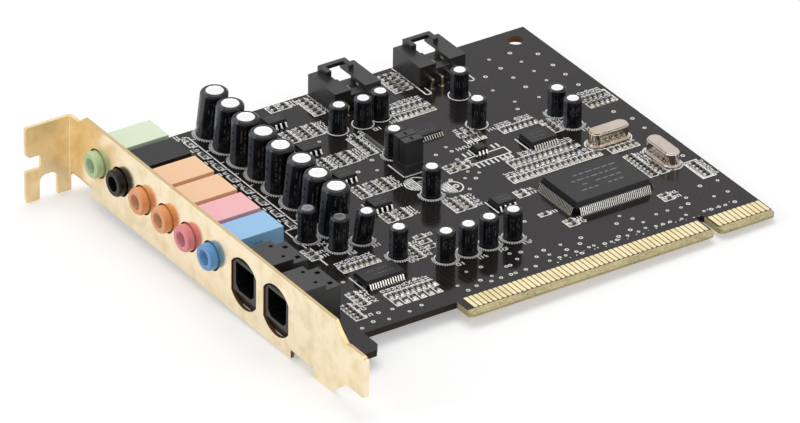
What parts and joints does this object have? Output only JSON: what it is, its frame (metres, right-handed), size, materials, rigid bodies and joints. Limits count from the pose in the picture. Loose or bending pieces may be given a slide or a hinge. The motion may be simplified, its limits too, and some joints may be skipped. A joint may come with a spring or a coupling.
{
  "type": "sound card",
  "caption": "Full-height expansion sound card with a black board, gold edge contacts, folded metal bracket, coloured audio jacks, two optical ports, capacitors and chips.",
  "frame": {"origin": "middle of the bounding box in plan, at the level of the lowest point, which is the end of the bracket tab", "axes": "+X along the edge contacts, away from the bracket; +Y from the edge contacts to the back edge; +Z out of the component side"},
  "size_m": [0.1314, 0.12, 0.0212],
  "materials": {
    "board_mask": "glossy near-black solder mask over glass epoxy",
    "contact_gold": "polished gold plating",
    "bracket_metal": "smooth plated steel sheet with a pale gold tone",
    "screw_steel": "bright plated steel",
    "jack_green": "pale green moulded plastic",
    "jack_black": "black moulded plastic",
    "jack_orange": "orange moulded plastic",
    "jack_pink": "pink moulded plastic",
    "jack_blue": "blue moulded plastic",
    "spring_contact": "tinned spring strip",
    "port_black": "black moulded plastic",
    "element_dark": "dark clear resin",
    "capacitor_sleeve": "black shrink sleeve with a grey stripe",
    "can_top": "bright pressed aluminium",
    "chip_black": "fine grained black moulding compound",
    "lead_tin": "tin plated lead",
    "crystal_can": "satin plated can",
    "header_black": "black moulded plastic",
    "header_gold": "gold plated pin",
    "resistor_black": "dark glazed chip with tinned ends",
    "capacitor_tan": "brown ceramic chip with tinned ends",
    "white_print": "white epoxy print",
    "solder": "bright solder and tinned pads"
  },
  "bodies": {
    "root": {"circuit_board": "board_mask", "edge_contacts": "contact_gold", "bracket": "bracket_metal", "bracket_screws": "screw_steel", "line_out_jack": "jack_green", "rear_out_jack": "jack_black", "center_out_jack": "jack_orange", "side_out_jack": "jack_orange", "microphone_jack": "jack_pink", "line_in_jack": "jack_blue", "jack_contacts": "spring_contact", "optical_output_port": "port_black", "optical_input_port": "port_black", "optical_elements": "element_dark", "large_capacitor_1": "capacitor_sleeve", "large_capacitor_2": "capacitor_sleeve", "large_capacitor_3": "capacitor_sleeve", "large_capacitor_4": "capacitor_sleeve", "large_capacitor_5": "capacitor_sleeve", "large_capacitor_6": "capacitor_sleeve", "large_capacitor_7": "capacitor_sleeve", "large_capacitor_8": "capacitor_sleeve", "small_capacitor_1": "capacitor_sleeve", "small_capacitor_2": "capacitor_sleeve", "small_capacitor_3": "capacitor_sleeve", "small_capacitor_4": "capacitor_sleeve", "small_capacitor_5": "capacitor_sleeve", "small_capacitor_6": "capacitor_sleeve", "small_capacitor_7": "capacitor_sleeve", "small_capacitor_8": "capacitor_sleeve", "small_capacitor_9": "capacitor_sleeve", "small_capacitor_10": "capacitor_sleeve", "small_capacitor_11": "capacitor_sleeve", "small_capacitor_12": "capacitor_sleeve", "small_capacitor_13": "capacitor_sleeve", "small_capacitor_14": "capacitor_sleeve", "small_capacitor_15": "capacitor_sleeve", "small_capacitor_16": "capacitor_sleeve", "small_capacitor_17": "capacitor_sleeve", "audio_controller": "chip_black", "codec_chip": "chip_black", "converter_chip": "chip_black", "buffer_chip": "chip_black", "output_amplifier_1": "chip_black", "output_amplifier_2": "chip_black", "output_amplifier_3": "chip_black", "output_amplifier_4": "chip_black", "memory_chip": "chip_black", "voltage_regulator": "chip_black", "crystal_1": "crystal_can", "crystal_2": "crystal_can", "audio_header_housing_1": "header_black", "audio_header_housing_2": "header_black", "audio_header_pins_1": "header_gold", "audio_header_pins_2": "header_gold", "jumper_header": "header_black", "jumper_pins": "header_gold", "jumper_caps": "header_black", "chip_resistors": "resistor_black", "chip_capacitors": "capacitor_tan"}
  },
  "joints": []
}
